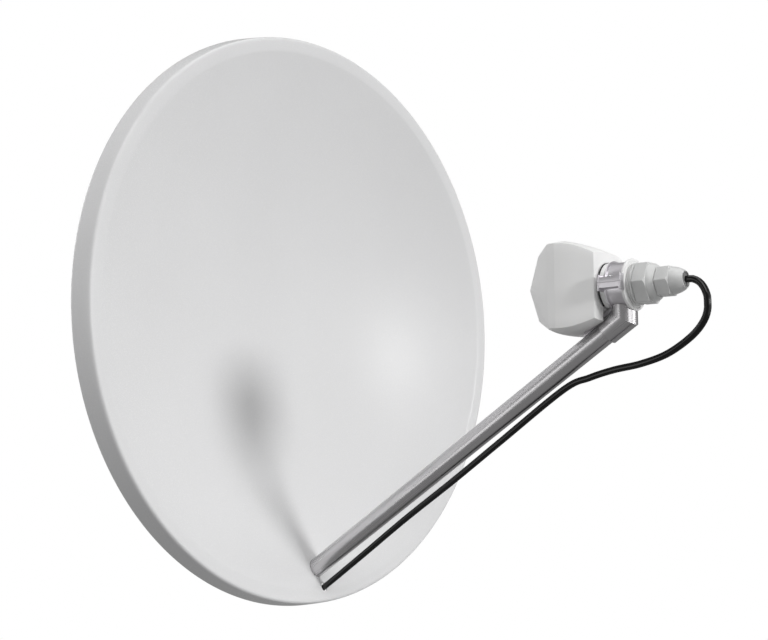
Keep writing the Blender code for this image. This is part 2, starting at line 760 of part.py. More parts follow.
def bracket_bolts():
    cheek = SPINE_HALF + GAP + YOKE_SHEET + GAP
    through_bolt("pivot_bolt", PIVOT, (1, 0, 0), cheek, cheek, M8_R, M8_HEX)
    through_bolt("lock_bolt", LOCK, (1, 0, 0), cheek, cheek, M8_R, M8_HEX)
    outside = SPINE_HALF + GAP
    through_bolt("arm_root_bolt", ROOT_BOLT, (1, 0, 0), outside, outside, M6_R, M6_HEX)
    for z, tag in hub_bolt_places():
        through_bolt(
            f"hub_bolt_{tag}", at(0, HUB_WEB_Y, z), (0, 1, 0), 0.002 + GAP,
            0.0005 + SPINE_SHEET + GAP, M8_R, M8_HEX,
        )
    for x, z, tag in bolt_places():
        through_bolt(
            f"mast_bolt_{tag}", Vector((x, 0, z)), (0, 1, 0), PLATE_T + GAP,
            JAW_Y + JAW_T + GAP, M8_R, M8_HEX,
        )


def mast_jaws():
    """Two bars with a notch that hold the mast against the plate."""
    for z, tag in ((-BOLT_Z, "lower"), (BOLT_Z, "upper")):
        bar = block(
            f"mast_jaw_{tag}", (0.108, JAW_T, 0.022), Vector((0, JAW_Y + JAW_T / 2.0, z)),
            GALVANISED, 0.0008,
        )
        notch = drum(
            f"jaw_notch_{tag}", 0.0215, 0.05, Vector((0, JAW_Y - 0.0045, z)), (0, 0, 1), None, 4
        )
        cut(bar, notch)
        for x, side in ((-BOLT_X, "left"), (BOLT_X, "right")):
            place = Vector((x, JAW_Y, z))
            cut(bar, drum(f"jaw_hole_{tag}_{side}", M8_BORE, 0.05, place, (0, 1, 0), None, 20))
        settle(bar, 30.0)


reflector()
arm_tube()
elbow()
half_ring("clamp_upper", True)
half_ring("clamp_lower", False)
clamp_screws()
head_cover()
head_body()
gland_parts()
cable()
coupler()
hub_pan()
spine()
mast_yoke()
bracket_bolts()
mast_jaws()
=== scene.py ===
"""Looks of the wireless dish antenna: camera, studio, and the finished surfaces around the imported
model."""

import math
import bmesh
import bpy
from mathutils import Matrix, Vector


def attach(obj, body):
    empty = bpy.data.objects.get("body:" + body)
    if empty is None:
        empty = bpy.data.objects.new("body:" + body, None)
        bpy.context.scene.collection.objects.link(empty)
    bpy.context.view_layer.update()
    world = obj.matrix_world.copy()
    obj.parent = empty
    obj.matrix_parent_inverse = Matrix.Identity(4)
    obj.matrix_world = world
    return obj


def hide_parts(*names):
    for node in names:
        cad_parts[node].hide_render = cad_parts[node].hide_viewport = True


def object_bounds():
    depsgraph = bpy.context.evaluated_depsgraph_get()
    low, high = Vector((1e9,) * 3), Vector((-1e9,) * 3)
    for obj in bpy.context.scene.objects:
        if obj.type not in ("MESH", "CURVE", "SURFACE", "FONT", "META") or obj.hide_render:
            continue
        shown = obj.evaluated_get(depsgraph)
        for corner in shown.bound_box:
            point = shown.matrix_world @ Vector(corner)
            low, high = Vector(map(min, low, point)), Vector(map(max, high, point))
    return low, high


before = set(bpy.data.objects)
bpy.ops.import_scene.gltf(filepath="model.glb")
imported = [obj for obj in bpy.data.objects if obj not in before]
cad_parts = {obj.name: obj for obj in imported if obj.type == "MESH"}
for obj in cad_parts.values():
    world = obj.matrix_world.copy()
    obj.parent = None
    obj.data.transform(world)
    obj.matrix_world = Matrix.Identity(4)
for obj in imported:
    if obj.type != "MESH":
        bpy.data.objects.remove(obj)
CAD_LOW, CAD_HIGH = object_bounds()

# The centre of the reflector's rim plane, from which the places below are given.
RIM = Vector((0.0, -0.185, 0.030))

# Camera, solved from the rim's outline in the photograph.
CAMERA_AT = RIM + Vector((-0.9879, -0.9221, -0.1624))
CAMERA_YAW = math.radians(-50.04)
CAMERA_PITCH = math.radians(6.70)
FOCAL_PIXELS = 1083.0
PHOTO_WIDTH = 768.0
SENSOR = 36.0

# Shared by many pieces: the gap between neighbours, the edge of a turned part, how many sides round
# ones have, and how far a drill goes each way.
GAP = 0.0003
EDGE = 0.0004
ROUND_STEPS = 128
DISH_STEPS = 288
BOLT_STEPS = 48
WASHER_STEPS = 64
HOLE_STEPS = 32
DRILL_REACH = 0.03

# Reflector: a round paraboloid, the lip as (radius, Y) points, then the skirt's end and its hem.
FOCAL = 0.3812
DISH_R = 0.3320
DISH_EDGE_Y = 0.0037
BOWL_RINGS = 36
SHEET = 0.0015
LIP = [
    (0.3328, 0.00338), (0.3337, 0.00308), (0.3348, 0.00276), (0.3362, 0.00242),
    (0.3385, 0.00192), (0.3410, 0.00140), (0.3435, 0.00088), (0.3455, 0.00046),
    (0.3468, 0.00030), (0.3480, 0.00045), (0.3489, 0.00095), (0.3496, 0.00180),
    (0.3501, 0.00285), (0.35045, 0.00400), (0.3509, 0.00620), (0.3516, 0.00950),
    (0.3530, 0.01720), (0.3541, 0.02360),
]
SKIRT_BACK = (0.3544, 0.0252)
HEM = (0.0012, 0.0004)
CABLE_HOLE = Vector((0.0034, 0.0034, -0.3318))
CABLE_HOLE_R = 0.0048
CABLE_HOLE_STEPS = 40
SLIT_X = (-0.0018, -0.0006)
SLIT_Y = (-0.02, 0.05)
SLIT_TOP_Z = -0.310
SLIT_OVERLAP = 0.001

# Feed arm and elbow.
ARM_DIR = Vector((0.0, -0.8385, 0.5449))
ARM_UP = Vector((0.0, 0.5449, 0.8385))
ARM_OFFSET = -0.2520
ARM_START_Y = 0.042
ARM_END_Y = -0.4031
ARM_TILT = math.atan2(ARM_DIR.z, -ARM_DIR.y)
ARM_R = 0.0111
ARM_WALL = 0.0015
ARM_EDGE = 0.0005
ARM_HOLE_R = 0.0114
ARM_HOLE_Y = (0.09, -0.05)
SLEEVE_R = 0.0133
SLEEVE_SIDES = 120
SLEEVE_LENGTH = 0.024
POST_Y = -0.4111
POST_TOP_Z = -0.0150

# Feed clamp. The tools that cut it reach past it at both ends. The web's side is (Y, Z) points. The
# screws' heads and sockets are (radius, height) points above the upper ear, and the ends of the
# screws and their holes are heights above the lower ear's underside.
NECK_R = 0.0200
CLAMP_FRONT_Y = -0.4015
CLAMP_BACK_Y = -0.4203
CLAMP_R = 0.0236
CLAMP_RING_R = 0.0258
CLAMP_RING_W = 0.0022
TOOL_Y = (-0.44, -0.38)
SPLIT_Y = (-0.45, -0.37)
TOOL_REACH = 0.06
EAR_ROOT = 0.0030
EAR_OUT = 0.0340
EAR_FRONT_Y = -0.3997
EAR_BACK_Y = -0.4250
EAR_HALF_H = 0.0055
RIB_T = 0.0020
RIB_HALF_H = 0.0082
RIB_PROUD = 0.0007
GUSSET_FOOT_Z = -0.0251
GUSSET_HALF = 0.0055
GUSSET_SIDE = [
    (-0.4020, -0.0206), (-0.4020, -0.0300), (-0.3860, -0.0420), (-0.3670, -0.0500),
    (-0.3670, -0.0457), (-0.3780, -0.0374), (-0.3862, -0.0318), (-0.3925, -0.0258),
    (-0.3965, -0.0228),
]
CLAMP_SCREW_X = 0.0297
CLAMP_SCREW_Y = -0.4118
CLAMP_SCREW_R = 0.0020
SCREW_PITCH = 0.0007
SCREW_THREAD_TOP = -0.0004
SCREW_END = 0.0018
SCREW_HOLE_END = 0.0012
BUTTON_HEAD = [
    (0.0, 0.0017), (0.0012, 0.0017), (0.0018, 0.0015), (0.0025, 0.0010), (0.0029, 0.0005),
    (0.0031, 0.0),
]
SOCKET = [(0.0, 0.0006), (0.0012, 0.0008), (0.0012, 0.003), (0.0, 0.003)]

# Feed head: rings of Y, half width, corner and crown of the top, corner and crown of the foot. The
# front rings also have how far the middle stands forward.
HEAD_FRONT = [
    (-0.3265, 0.0270, 0.0290, 0.0340, 0.0280, 0.0310, 0.0085),
    (-0.3300, 0.0310, 0.0348, 0.0400, 0.0335, 0.0375, 0.0106),
    (-0.3474, 0.0428, 0.0440, 0.0500, 0.0432, 0.0470, 0.0),
]
HEAD_REAR_Y = -0.3942
HEAD_BACK = [
    (-0.3570, 0.0450, 0.0437, 0.0503, 0.0435, 0.0482),
    (-0.3690, 0.0409, 0.0429, 0.0468, 0.0425, 0.0462),
    (-0.3815, 0.0356, 0.0390, 0.0420, 0.0390, 0.0420),
    (HEAD_REAR_Y, 0.0302, 0.0325, 0.0362, 0.0340, 0.0362),
]
HEAD_STEPS = 5
ARCH_STEPS = 9
ARCH_POWER = 2.6
SIDE_STEPS = 4
ARM_GROOVE_HALF = 0.0130
ARM_GROOVE_SIDE = [
    (-0.4012, -0.0215), (-0.3955, -0.0225), (-0.3640, -0.0475), (-0.3550, -0.0600),
    (-0.4012, -0.0600),
]

# The head's neck, with a black ring of painted shade and a shoulder between the head and the clamp.
NECK_BACK_Y = -0.4206
SHOULDER_R = 0.0244
SHOULDER_Y = (-0.3962, -0.4011)
SHOULDER_EDGE = 0.0003
SHADE_RING_R = 0.0250
SHADE_RING_NOTCH_Y = (-0.41, -0.38)
SHADE_RING_NOTCH_Z = (-0.03, -0.0200)

# Rear flange and gland. AF is the size across the flats. The collar's side and the domes behind the
# hexagons are (radius, Y) points, and the seal's Y places are given from the gland's end.
FLANGE_R = 0.0266
FLANGE_BACK_Y = -0.4242
FLANGE_ROUND = 0.0012
FLANGE_GROOVE_R = 0.0234
COLLAR_FRONT_R = 0.0212
COLLAR_R = 0.0216
COLLAR_SIDE = [
    (COLLAR_R, -0.4258), (0.0204, -0.4263), (0.0204, -0.4273), (0.0212, -0.4276),
    (0.0214, -0.4280), (0.0214, -0.4290), (0.0206, -0.4297), (0.0, -0.4297),
]
HEX_FRONT_EDGE = 0.0010
HEX_REAR_EDGE = (0.0022, 0.0020)
HEX1_AF = 0.0396
HEX1_Y = (-0.4300, -0.4442)
HEX1_DOME = [
    (0.0196, -0.4440), (0.0190, -0.4464), (0.0172, -0.4490), (0.0150, -0.4506), (0.0, -0.4506),
]
GLAND_END_Y = -0.4780
HEX2_AF = 0.0284
HEX2_Y = (-0.4510, -0.4652)
HEX2_DOME = [
    (0.0140, -0.4645), (0.0134, -0.4682), (0.0122, -0.4722), (0.0104, -0.4758),
    (0.0088, GLAND_END_Y), (0.0, GLAND_END_Y),
]
GLAND_MOUTH_R = 0.0074
GLAND_MOUTH_DEPTH = 0.006
SEAL_LIP = (0.0062, 0.0010)
SEAL_SIDE_END = 0.0018

# Bracket behind the dish, with M8 bolts and one of M6 through the arm's root.
HUB_WEB_Y = 0.1020
HUB_SHEET = 0.002
HUB_BOLT_Z = 0.030
SPINE_HALF = 0.0145
SPINE_SHEET = 0.0025
SPINE_LIFT = 0.0005
YOKE_SHEET = 0.004
PLATE_T = 0.005
PIVOT_YZ = (0.1230, 0.036)
LOCK_YZ = (0.1230, -0.042)
BOLT_X = 0.042
BOLT_Z = 0.042
JAW_REAR_Y = 0.070
M8_R = 0.0040
M8_HEX = 0.013
M6_R = 0.0030
M6_BORE = 0.0034
M6_HEX = 0.010
ROOT_BOLT_Y = 0.032

# Lead.
CABLE_R = 0.0036
CABLE_SPACING = 0.0035
CABLE_STEPS = 24
CABLE_ROUTE = [
    (0.0, -0.4777, 0.0), (0.0, -0.4850, -0.0002), (0.0, -0.4928, -0.0052),
    (0.0, -0.4979, -0.0148), (0.0, -0.4994, -0.0265), (0.0, -0.4951, -0.0410),
    (0.0, -0.4815, -0.0561), (0.0, -0.4561, -0.0715), (0.0, -0.4273, -0.0800),
    (0.0, -0.3976, -0.0847), (0.0, -0.3700, -0.0915), (0.0, -0.3387, -0.1029),
    (0.0, -0.2588, -0.1566), (0.0, -0.1970, -0.1985), (0.0005, -0.1256, -0.2449),
    (0.0018, -0.0600, -0.2895), (0.0028, 0.0010, -0.3305), (0.0028, 0.0180, -0.3405),
    (0.0020, 0.0400, -0.3465), (0.0010, 0.0600, -0.3400), (0.0, 0.0710, -0.3260),
    (0.0, 0.0760, -0.3100),
]

# Key light: direction towards it, strength, and how wide it looks in degrees.
KEY_FROM = Vector((0.149, -0.953, 0.263))
KEY_STRENGTH = 1.42
KEY_WIDTH = 11.0

# Soft panels: direction in degrees (round from the front, up), size in metres, watts, and what they
# act on.
LIGHT_DISTANCE = 4.0
LIGHTS_AIM = (0.0, -0.15, 0.0)
PANELS = [
    ("over_camera", -45.0, 42.0, 2.6, 2.6, 53.0, "both"),
    ("overhead", 0.0, 88.0, 3.0, 3.0, 50.0, "both"),
    ("right_low", 65.0, -40.0, 2.6, 2.6, 29.0, "diffuse"),
    ("right_level", 75.0, 0.0, 2.1, 2.6, 42.0, "diffuse"),
    ("behind_left", -160.0, 15.0, 2.6, 2.6, 58.0, "both"),
    ("left_soft", -130.0, 10.0, 2.0, 2.6, 16.0, "diffuse"),
    ("left_strip", -113.0, -8.0, 0.8, 3.0, 10.0, "both"),
    ("wall_left", -8.0, 5.0, 2.6, 3.6, 20.0, "glossy"),
    ("wall_middle", 30.0, 5.0, 2.6, 3.6, 20.0, "glossy"),
    ("post_band", -3.0, 7.0, 3.6, 0.4, 9.0, "glossy"),
    ("spot", 25.7, 8.6, 0.35, 0.35, 6.6, "glossy"),
]

# Surround, floor and backdrop.
SKY_STRENGTH = 0.25
FLOOR_R = 12.0
FLOOR_DROP = 0.25
BACKDROP_R = 11.5


# Camera.
def make_camera():
    data = bpy.data.cameras.new("camera")
    data.sensor_width = SENSOR
    data.lens = SENSOR * FOCAL_PIXELS / PHOTO_WIDTH
    camera = bpy.data.objects.new("camera", data)
    bpy.context.scene.collection.objects.link(camera)
    camera.location = CAMERA_AT
    camera.rotation_euler = (math.radians(90) + CAMERA_PITCH, 0.0, CAMERA_YAW)
    bpy.context.scene.camera = camera


# Shape helpers.
def at(x, y, z):
    """A point given from the rim plane's centre, in the frame's own axes."""
    return RIM + Vector((x, y, z))


def mesh_object(name, shape):
    mesh = bpy.data.meshes.new(name)
    bmesh.ops.recalc_face_normals(shape, faces=shape.faces)
    shape.to_mesh(mesh)
    shape.free()
    obj = bpy.data.objects.new(name, mesh)
    bpy.context.scene.collection.objects.link(obj)
    return obj


def shade(obj, angle):
    for polygon in obj.data.polygons:
        polygon.use_smooth = True
    obj.data.set_sharp_from_angle(angle=math.radians(angle))
    return obj


def settle(obj):
    """Makes the modifiers' result the object's own mesh."""
    bpy.context.view_layer.update()
    graph = bpy.context.evaluated_depsgraph_get()
    mesh = bpy.data.meshes.new_from_object(obj.evaluated_get(graph))
    obj.modifiers.clear()
    old = obj.data
    obj.data = mesh
    bpy.data.meshes.remove(old)
    return obj


def rounded(obj, width, angle=30.0, segments=3):
    """Rounds every edge that is sharper than an angle."""
    step = obj.modifiers.new("rounded", "BEVEL")
    step.width = width
    step.segments = segments
    step.limit_method = "ANGLE"
    step.angle_limit = math.radians(angle)
    return settle(obj)


def combine(obj, tools, operation="DIFFERENCE"):
    """Cuts the tools from the object, or joins them to it."""
    for tool in tools:
        step = obj.modifiers.new(tool.name, "BOOLEAN")
        step.operation = operation
        step.solver = "EXACT"
        step.object = tool
    settle(obj)
    for tool in tools:
        bpy.data.objects.remove(tool)
    return obj


def lathe(name, outline, steps=96, closed=False, base=None, along=(0, 1, 0)):
    """Turns (radius, height) points about an axis through base. The feed's axis is the default."""
    axis = Vector(along).normalized()
    side = axis.orthogonal().normalized()
    other = axis.cross(side)
    start = at(0, 0, 0) if base is None else base
    shape = bmesh.new()
    rings = []
    for radius, height in outline:
        centre = start + axis * height
        if radius < 1e-6:
            rings.append([shape.verts.new(centre)])
            continue
        ring = []
        for index in range(steps):
            angle = 2.0 * math.pi * index / steps
            across = side * (radius * math.cos(angle))
            up = other * (radius * math.sin(angle))
            ring.append(shape.verts.new(centre + across + up))
        rings.append(ring)
    pairs = list(zip(rings, rings[1:]))
    if closed:
        pairs.append((rings[-1], rings[0]))
    for first, second in pairs:
        for index in range(steps):
            after = (index + 1) % steps
            if len(first) == 1 and len(second) == 1:
                continue
            if len(first) == 1:
                shape.faces.new((first[0], second[index], second[after]))
            elif len(second) == 1:
                shape.faces.new((first[index], first[after], second[0]))
            else:
                shape.faces.new((first[index], first[after], second[after], second[index]))
    return mesh_object(name, shape)


def loft(name, rings):
    """A closed skin over rings that have the same number of points."""
    shape = bmesh.new()
    made = [[shape.verts.new(point) for point in ring] for ring in rings]
    count = len(rings[0])
    for first, second in zip(made, made[1:]):
        for index in range(count):
            after = (index + 1) % count
            shape.faces.new((first[index], first[after], second[after], second[index]))
    shape.faces.new(made[0])
    shape.faces.new(made[-1])
    return mesh_object(name, shape)


def slab(name, outline, x_low, x_high):
    """A prism of (y, z) points between two X positions."""
    rings = [[at(x, y, z) for y, z in outline] for x in (x_low, x_high)]
    return loft(name, rings)


def block(name, low, high):
    """A box between two corners."""
    (x0, y0, z0), (x1, y1, z1) = low, high
    outline = [(y0, z0), (y1, z0), (y1, z1), (y0, z1)]
    return slab(name, outline, x0, x1)


def arc(centre, radius, start, end, steps):
    """Points of (radius, height) along a circular arc, angles in degrees."""
    points = []
    for step in range(steps + 1):
        angle = math.radians(start + (end - start) * step / steps)
        points.append((centre[0] + radius * math.cos(angle), centre[1] + radius * math.sin(angle)))
    return points


def curve_through(rows, steps):
    """A smooth curve through rows of numbers, with a number of steps in each stretch."""
    filled = []
    for index in range(len(rows) - 1):
        before = rows[max(index - 1, 0)]
        start, end = rows[index], rows[index + 1]
        after = rows[min(index + 2, len(rows) - 1)]
        for step in range(steps):
            t = step / steps
            filled.append([
                0.5 * (2.0 * b + (c - a) * t + (2.0 * a - 5.0 * b + 4.0 * c - d) * t**2
                       + (3.0 * b - a - 3.0 * c + d) * t**3)
                for a, b, c, d in zip(before, start, end, after)
            ])
    return filled + [list(rows[-1])]


def piece(obj, material, slot, *nodes):
    """Finishes a piece: its material, its body, and hides the solids it stands for. The slot is not
    used.
    """
    obj.data.materials.clear()
    obj.data.materials.append(material)
    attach(obj, "root")
    if nodes:
        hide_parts(*nodes)
    return obj


# Node helpers. Nearly all values of a noise lie between these two.
NOISE_LOW, NOISE_HIGH = 0.3, 0.7


def add(tree, kind, **settings):
    node = tree.nodes.new(kind)
    for key, value in settings.items():
        setattr(node, key, value)
    return node


def principled(name, colour, roughness, metallic=0.0):
    made = bpy.data.materials.new(name)
    made.use_nodes = True
    shader = made.node_tree.nodes["Principled BSDF"]
    shader.inputs["Base Color"].default_value = (*colour, 1.0)
    shader.inputs["Roughness"].default_value = roughness
    shader.inputs["Metallic"].default_value = metallic
    return made, made.node_tree, shader


def places(tree, scale=(1.0, 1.0, 1.0), turn=(0.0, 0.0, 0.0)):
    """The object's own coordinates, turned and then stretched."""
    coordinates = add(tree, "ShaderNodeTexCoord")
    turned = add(tree, "ShaderNodeMapping")
    turned.inputs["Rotation"].default_value = turn
    stretched = add(tree, "ShaderNodeMapping")
    stretched.inputs["Scale"].default_value = scale
    tree.links.new(coordinates.outputs["Object"], turned.inputs["Vector"])
    tree.links.new(turned.outputs["Vector"], stretched.inputs["Vector"])
    return stretched.outputs["Vector"]


def noise(tree, vector, scale, detail=3.0, roughness=0.55):
    node = add(tree, "ShaderNodeTexNoise")
    node.inputs["Scale"].default_value = scale
    node.inputs["Detail"].default_value = detail
    node.inputs["Roughness"].default_value = roughness
    tree.links.new(vector, node.inputs["Vector"])
    return node.outputs["Fac"]


def roughen(tree, shader, value, low, high):
    """Lets the roughness vary between two limits, by a value."""
    node = add(tree, "ShaderNodeMapRange")
    node.inputs["From Min"].default_value = NOISE_LOW
    node.inputs["From Max"].default_value = NOISE_HIGH
    node.inputs["To Min"].default_value = low
    node.inputs["To Max"].default_value = high
    tree.links.new(value, node.inputs["Value"])
    tree.links.new(node.outputs["Result"], shader.inputs["Roughness"])


def tint(tree, shader, value, first, second, start=NOISE_LOW, end=NOISE_HIGH):
    """Lets the colour vary between two, by a value."""
    node = add(tree, "ShaderNodeValToRGB")
    node.color_ramp.elements[0].position = start
    node.color_ramp.elements[0].color = (*first, 1.0)
    node.color_ramp.elements[1].position = end
    node.color_ramp.elements[1].color = (*second, 1.0)
    tree.links.new(value, node.inputs["Fac"])
    tree.links.new(node.outputs["Color"], shader.inputs["Base Color"])


def bumped(tree, shader, heights, distance=0.0001):
    """Adds bumps one on another: heights is a list of (value, strength)."""
    normal = None
    for value, strength in heights:
        node = add(tree, "ShaderNodeBump")
        node.inputs["Strength"].default_value = strength
        node.inputs["Distance"].default_value = distance
        tree.links.new(value, node.inputs["Height"])
        if normal is not None:
            tree.links.new(normal, node.inputs["Normal"])
        normal = node.outputs["Normal"]
    tree.links.new(normal, shader.inputs["Normal"])


def shifted(colour, factor):
    return tuple(min(1.0, part * factor) for part in colour)


# Materials.
def powder_coat():
    """Satin light grey coat with a faint orange peel."""
    colour = (0.705, 0.705, 0.71)
    made, tree, shader = principled("powder_coat", colour, 0.25)
    vector = places(tree)
    cloud = noise(tree, vector, scale=6.0, detail=4.0)
    peel = noise(tree, vector, scale=420.0, detail=2.0)
    speck = noise(tree, vector, scale=1500.0, detail=1.0)
    tint(tree, shader, cloud, shifted(colour, 0.985), shifted(colour, 1.012))
    roughen(tree, shader, speck, low=0.22, high=0.29)
    bumped(tree, shader, [(peel, 0.04), (speck, 0.02)])
    return made


def housing_plastic():
    """Fine-grained off-white moulding."""
    colour = (0.87, 0.87, 0.865)
    made, tree, shader = principled("housing_plastic", colour, 0.50)
    vector = places(tree)
    cloud = noise(tree, vector, scale=28.0, detail=4.0)
    grain = noise(tree, vector, scale=2600.0, detail=2.0)
    tint(tree, shader, cloud, shifted(colour, 0.985), shifted(colour, 1.01))
    roughen(tree, shader, grain, low=0.44, high=0.58)
    bumped(tree, shader, [(grain, 0.20)])
    return made


def gland_plastic():
    """Smooth light grey moulding with a soft gloss."""
    colour = (0.68, 0.685, 0.68)
    made, tree, shader = principled("gland_plastic", colour, 0.34)
    vector = places(tree)
    cloud = noise(tree, vector, scale=90.0, detail=3.0)
    grain = noise(tree, vector, scale=1800.0, detail=2.0)
    tint(tree, shader, cloud, shifted(colour, 0.97), shifted(colour, 1.02))
    roughen(tree, shader, grain, low=0.29, high=0.40)
    bumped(tree, shader, [(grain, 0.12)])
    return made


def drawn_metal(name, colour, roughness, turn=(0.0, 0.0, 0.0), stretch=(30.0, 1.0, 30.0)):
    """Half-bright metal with fine draw lines along one direction."""
    made, tree, shader = principled(name, colour, roughness, metallic=1.0)
    plain = places(tree)
    along = places(tree, stretch, turn)
    lines = noise(tree, along, scale=6.0, detail=2.0, roughness=0.5)
    cloud = noise(tree, plain, scale=18.0, detail=3.0)
    tint(tree, shader, cloud, shifted(colour, 0.97), shifted(colour, 1.03))
    roughen(tree, shader, lines, low=roughness - 0.02, high=roughness + 0.03)
    bumped(tree, shader, [(lines, 0.02)])
    return made


def zinc_plate():
    """Bright plating that is bluish in places and yellowish in others."""
    made, tree, shader = principled("zinc_plate", (0.60, 0.61, 0.62), 0.32, metallic=1.0)
    vector = places(tree)
    cloud = noise(tree, vector, scale=160.0, detail=4.0)
    grain = noise(tree, vector, scale=1500.0, detail=2.0)
    tint(tree, shader, cloud, (0.52, 0.53, 0.56), (0.68, 0.68, 0.66))
    roughen(tree, shader, cloud, low=0.26, high=0.42)
    bumped(tree, shader, [(grain, 0.15)])
    return made


def galvanised():
    """Dull zinc with spangles of slightly different grey."""
    made, tree, shader = principled("galvanised", (0.50, 0.51, 0.53), 0.48, metallic=1.0)
    vector = places(tree)
    cells = add(tree, "ShaderNodeTexVoronoi", feature="F1")
    cells.inputs["Scale"].default_value = 170.0
    cells.inputs["Randomness"].default_value = 1.0
    tree.links.new(vector, cells.inputs["Vector"])
    grey = add(tree, "ShaderNodeRGBToBW")
    tree.links.new(cells.outputs["Color"], grey.inputs["Color"])
    spangle = grey.outputs["Val"]
    cloud = noise(tree, vector, scale=30.0, detail=5.0)
    grain = noise(tree, vector, scale=900.0, detail=3.0)
    tint(tree, shader, spangle, (0.42, 0.43, 0.45), (0.58, 0.59, 0.61), start=0.1, end=0.9)
    roughen(tree, shader, cloud, low=0.38, high=0.58)
    bumped(tree, shader, [(grain, 0.15), (spangle, 0.10)], distance=0.0002)
    return made


def cable_jacket():
    """Glossy black jacket with a slight ripple from extrusion."""
    made, tree, shader = principled("cable_jacket", (0.004, 0.004, 0.004), 0.16)
    vector = places(tree)
    ripple = noise(tree, vector, scale=260.0, detail=2.0)
    grain = noise(tree, vector, scale=2400.0, detail=2.0)
    tint(tree, shader, ripple, (0.001, 0.001, 0.001), (0.003, 0.003, 0.003))
    roughen(tree, shader, grain, low=0.11, high=0.15)
    shader.inputs["Specular IOR Level"].default_value = 0.42
    bumped(tree, shader, [(ripple, 0.006)])
    return made


def dark_moulding(name, colour, roughness):
    """Matt black rubber or moulded plastic."""
    made, tree, shader = principled(name, colour, roughness)
    vector = places(tree)
    cloud = noise(tree, vector, scale=200.0, detail=4.0)
    grain = noise(tree, vector, scale=2000.0, detail=3.0)
    tint(tree, shader, cloud, shifted(colour, 0.7), shifted(colour, 1.3))
    roughen(tree, shader, grain, low=roughness - 0.08, high=roughness + 0.10)
    bumped(tree, shader, [(grain, 0.25)])
    return made


# Lead.
def smooth_route(points, spacing):
    """Points at even spacing along a smooth curve through the given ones, and its length."""
    dense = [Vector(point) for point in curve_through(points, CABLE_STEPS)]
    total = sum((b - a).length for a, b in zip(dense, dense[1:]))
    count = max(2, round(total / spacing))
    step = total / count
    even, walked, goal = [dense[0]], 0.0, step
    for a, b in zip(dense, dense[1:]):
        part = (b - a).length
        while walked + part >= goal and len(even) < count:
            even.append(a.lerp(b, (goal - walked) / part))
            goal += step
        walked += part
    even.append(dense[-1])
    return even, total


def lead():
    """The lead, held just inside the front of the solids' box."""
    points, total = smooth_route(CABLE_ROUTE, CABLE_SPACING)
    margin = 0.00002
    front = CAD_LOW.y - RIM.y + CABLE_R + margin
    points = [Vector((x, max(y, front), z)) for x, y, z in points]
    line = bpy.data.curves.new("lead", "CURVE")
    line.dimensions = "3D"
    line.bevel_depth = CABLE_R
    line.bevel_resolution = 6
    line.use_fill_caps = True
    spline = line.splines.new("POLY")
    spline.points.add(len(points) - 1)
    for knot, point in zip(spline.points, points):
        knot.co = (*at(*point), 1.0)
    spline.use_smooth = True
    obj = bpy.data.objects.new("lead", line)
    bpy.context.scene.collection.objects.link(obj)
    piece(obj, JACKET, "black_cable_jacket", "cable")


# Reflector.
def dish_y(radius):
    """Y of the bowl's front face at a radius."""
    return DISH_EDGE_Y + (DISH_R**2 - radius**2) / (4.0 * FOCAL)


def dish_front():
    """The front face's outline from the centre out, over the lip and down the skirt."""
    face = []
    for index in range(BOWL_RINGS + 1):
        radius = DISH_R * math.sqrt(index / BOWL_RINGS)
        face.append((radius, dish_y(radius)))
    return face + LIP + [SKIRT_BACK]


def offset_line(points, distance):
    """The line moved sideways by a distance."""
    moved = []
    for index, (x, y) in enumerate(points):
        before = points[max(index - 1, 0)]
        after = points[min(index + 1, len(points) - 1)]
        dx, dy = after[0] - before[0], after[1] - before[1]
        length = math.hypot(dx, dy)
        moved.append((x - dy / length * distance, y + dx / length * distance))
    return moved


def arm_point(along, across=0.0, x=0.0):
    """A place along the arm's centreline, and off it."""
    point = ARM_UP * (ARM_OFFSET + across) + ARM_DIR * along
    return at(x, point.y, point.z)


def along_at(y):
    """How far along the arm's centreline a Y position is."""
    return (y - (ARM_UP * ARM_OFFSET).y) / ARM_DIR.y


def drum(radius, low, high):
    """A cylinder's outline."""
    return [(0.0, low), (radius, low), (radius, high), (0.0, high)]


def arm_round(name, radius, low, high):
    """A cylinder on the arm's centreline between two places along it."""
    outline = drum(radius, low, high)
    return lathe(name, outline, ROUND_STEPS, base=arm_point(0.0), along=ARM_DIR)


def feed_round(name, radius, back, front):
    """A cylinder on the feed's axis between two Y positions."""
    return lathe(name, drum(radius, back, front), ROUND_STEPS)


ROOT_BOLT = arm_point(along_at(ROOT_BOLT_Y))


def reflector():
    """The pressed sheet with the arm's hole, the lead's hole and the slit between them."""
    front = dish_front()
    back = offset_line(front, SHEET)
    back[0] = (0.0, front[0][1] + SHEET)
    hem = [(back[-1][0] + HEM[0], back[-1][1] + HEM[1])]
    shape = lathe("reflector_dish", front + hem + list(reversed(back)), DISH_STEPS)
    hole = arm_round("arm_hole", ARM_HOLE_R, *(along_at(y) for y in ARM_HOLE_Y))
    drill = drum(CABLE_HOLE_R, -DRILL_REACH, DRILL_REACH)
    lead_hole = lathe(
        "lead_hole", drill, CABLE_HOLE_STEPS, base=at(*CABLE_HOLE), along=ARM_DIR
    )
    slit_foot = CABLE_HOLE.z + CABLE_HOLE_R - SLIT_OVERLAP
    slit = block("slit", (SLIT_X[0], SLIT_Y[0], slit_foot), (SLIT_X[1], SLIT_Y[1], SLIT_TOP_Z))
    combine(shape, [hole, lead_hole, slit])
    shade(shape, 40.0)
    true_normals(shape)
    piece(shape, COAT, "light_grey_paint", "reflector")


